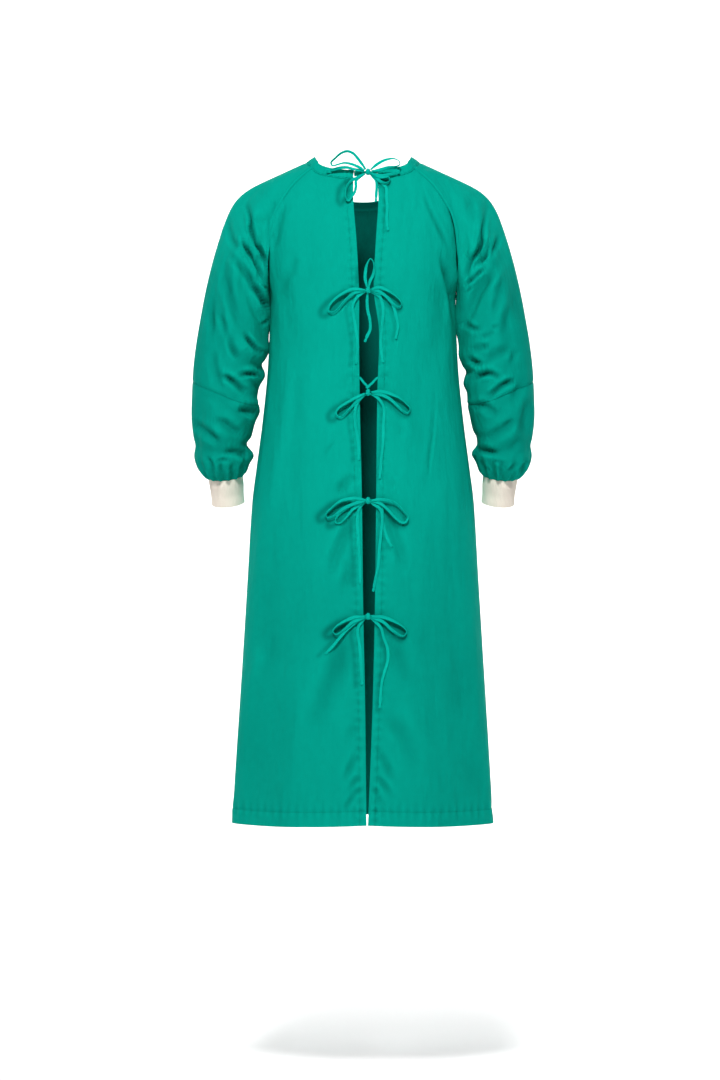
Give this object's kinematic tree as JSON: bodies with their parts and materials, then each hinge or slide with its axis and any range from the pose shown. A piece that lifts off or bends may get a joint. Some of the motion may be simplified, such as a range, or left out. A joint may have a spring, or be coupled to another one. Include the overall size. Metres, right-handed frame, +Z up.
{
  "type": "surgical gown",
  "caption": "Long-sleeved wraparound gown in its worn form, with raglan sleeves, knit cuffs, a bound neck and an open back tied with bows.",
  "frame": {"origin": "the middle of the neck opening, level with the tops of the shoulders that carry the gown", "axes": "+Z up along the body, -Y towards the gown's back, where it ties, +X to the wearer's right"},
  "size_m": [0.618, 0.3632, 1.1984],
  "materials": {
    "gown_cloth": "matt plain-woven cloth with a slight sheen",
    "cuff_knit": "matt ribbed knit",
    "tie_tape": "matt folded cloth tape"
  },
  "bodies": {
    "root": {"front": "gown_cloth", "back_left": "gown_cloth", "back_right": "gown_cloth", "upper_sleeve_left": "gown_cloth", "upper_sleeve_right": "gown_cloth", "forearm_sleeve_left": "gown_cloth", "forearm_sleeve_right": "gown_cloth", "neck_binding": "gown_cloth", "cuff_left": "cuff_knit", "cuff_right": "cuff_knit", "tie1_knot": "tie_tape", "tie1_lead_left": "tie_tape", "tie1_lead_right": "tie_tape", "tie2_knot": "tie_tape", "tie2_lead_left": "tie_tape", "tie2_lead_right": "tie_tape", "tie3_knot": "tie_tape", "tie3_lead_left": "tie_tape", "tie3_lead_right": "tie_tape", "tie4_knot": "tie_tape", "tie4_lead_left": "tie_tape", "tie4_lead_right": "tie_tape", "tie5_knot": "tie_tape", "tie5_lead_left": "tie_tape", "tie5_lead_right": "tie_tape", "tie1_loop_left": "tie_tape", "tie1_tail_left": "tie_tape", "tie1_loop_right": "tie_tape", "tie1_tail_right": "tie_tape", "tie1_loop_low_left": "tie_tape", "tie1_loop_low_right": "tie_tape", "tie1_tail_down": "tie_tape", "tie1_tail_long": "tie_tape", "tie2_loop_up": "tie_tape", "tie2_loop_left": "tie_tape", "tie2_loop_right": "tie_tape", "tie2_tail_middle": "tie_tape", "tie2_tail_left": "tie_tape", "tie2_tail_right": "tie_tape", "tie2_tail_thin": "tie_tape", "tie3_loop_left": "tie_tape", "tie3_loop_right": "tie_tape", "tie3_tail_left": "tie_tape", "tie3_tail_right": "tie_tape", "tie4_loop_left_long": "tie_tape", "tie4_loop_left_short": "tie_tape", "tie4_loop_right": "tie_tape", "tie4_tail_left": "tie_tape", "tie4_tail_right": "tie_tape", "tie4_tail_thin": "tie_tape", "tie5_loop_left": "tie_tape", "tie5_tail_left_long": "tie_tape", "tie5_tail_left": "tie_tape", "tie5_loop_right": "tie_tape", "tie5_tail_right": "tie_tape"}
  },
  "joints": []
}
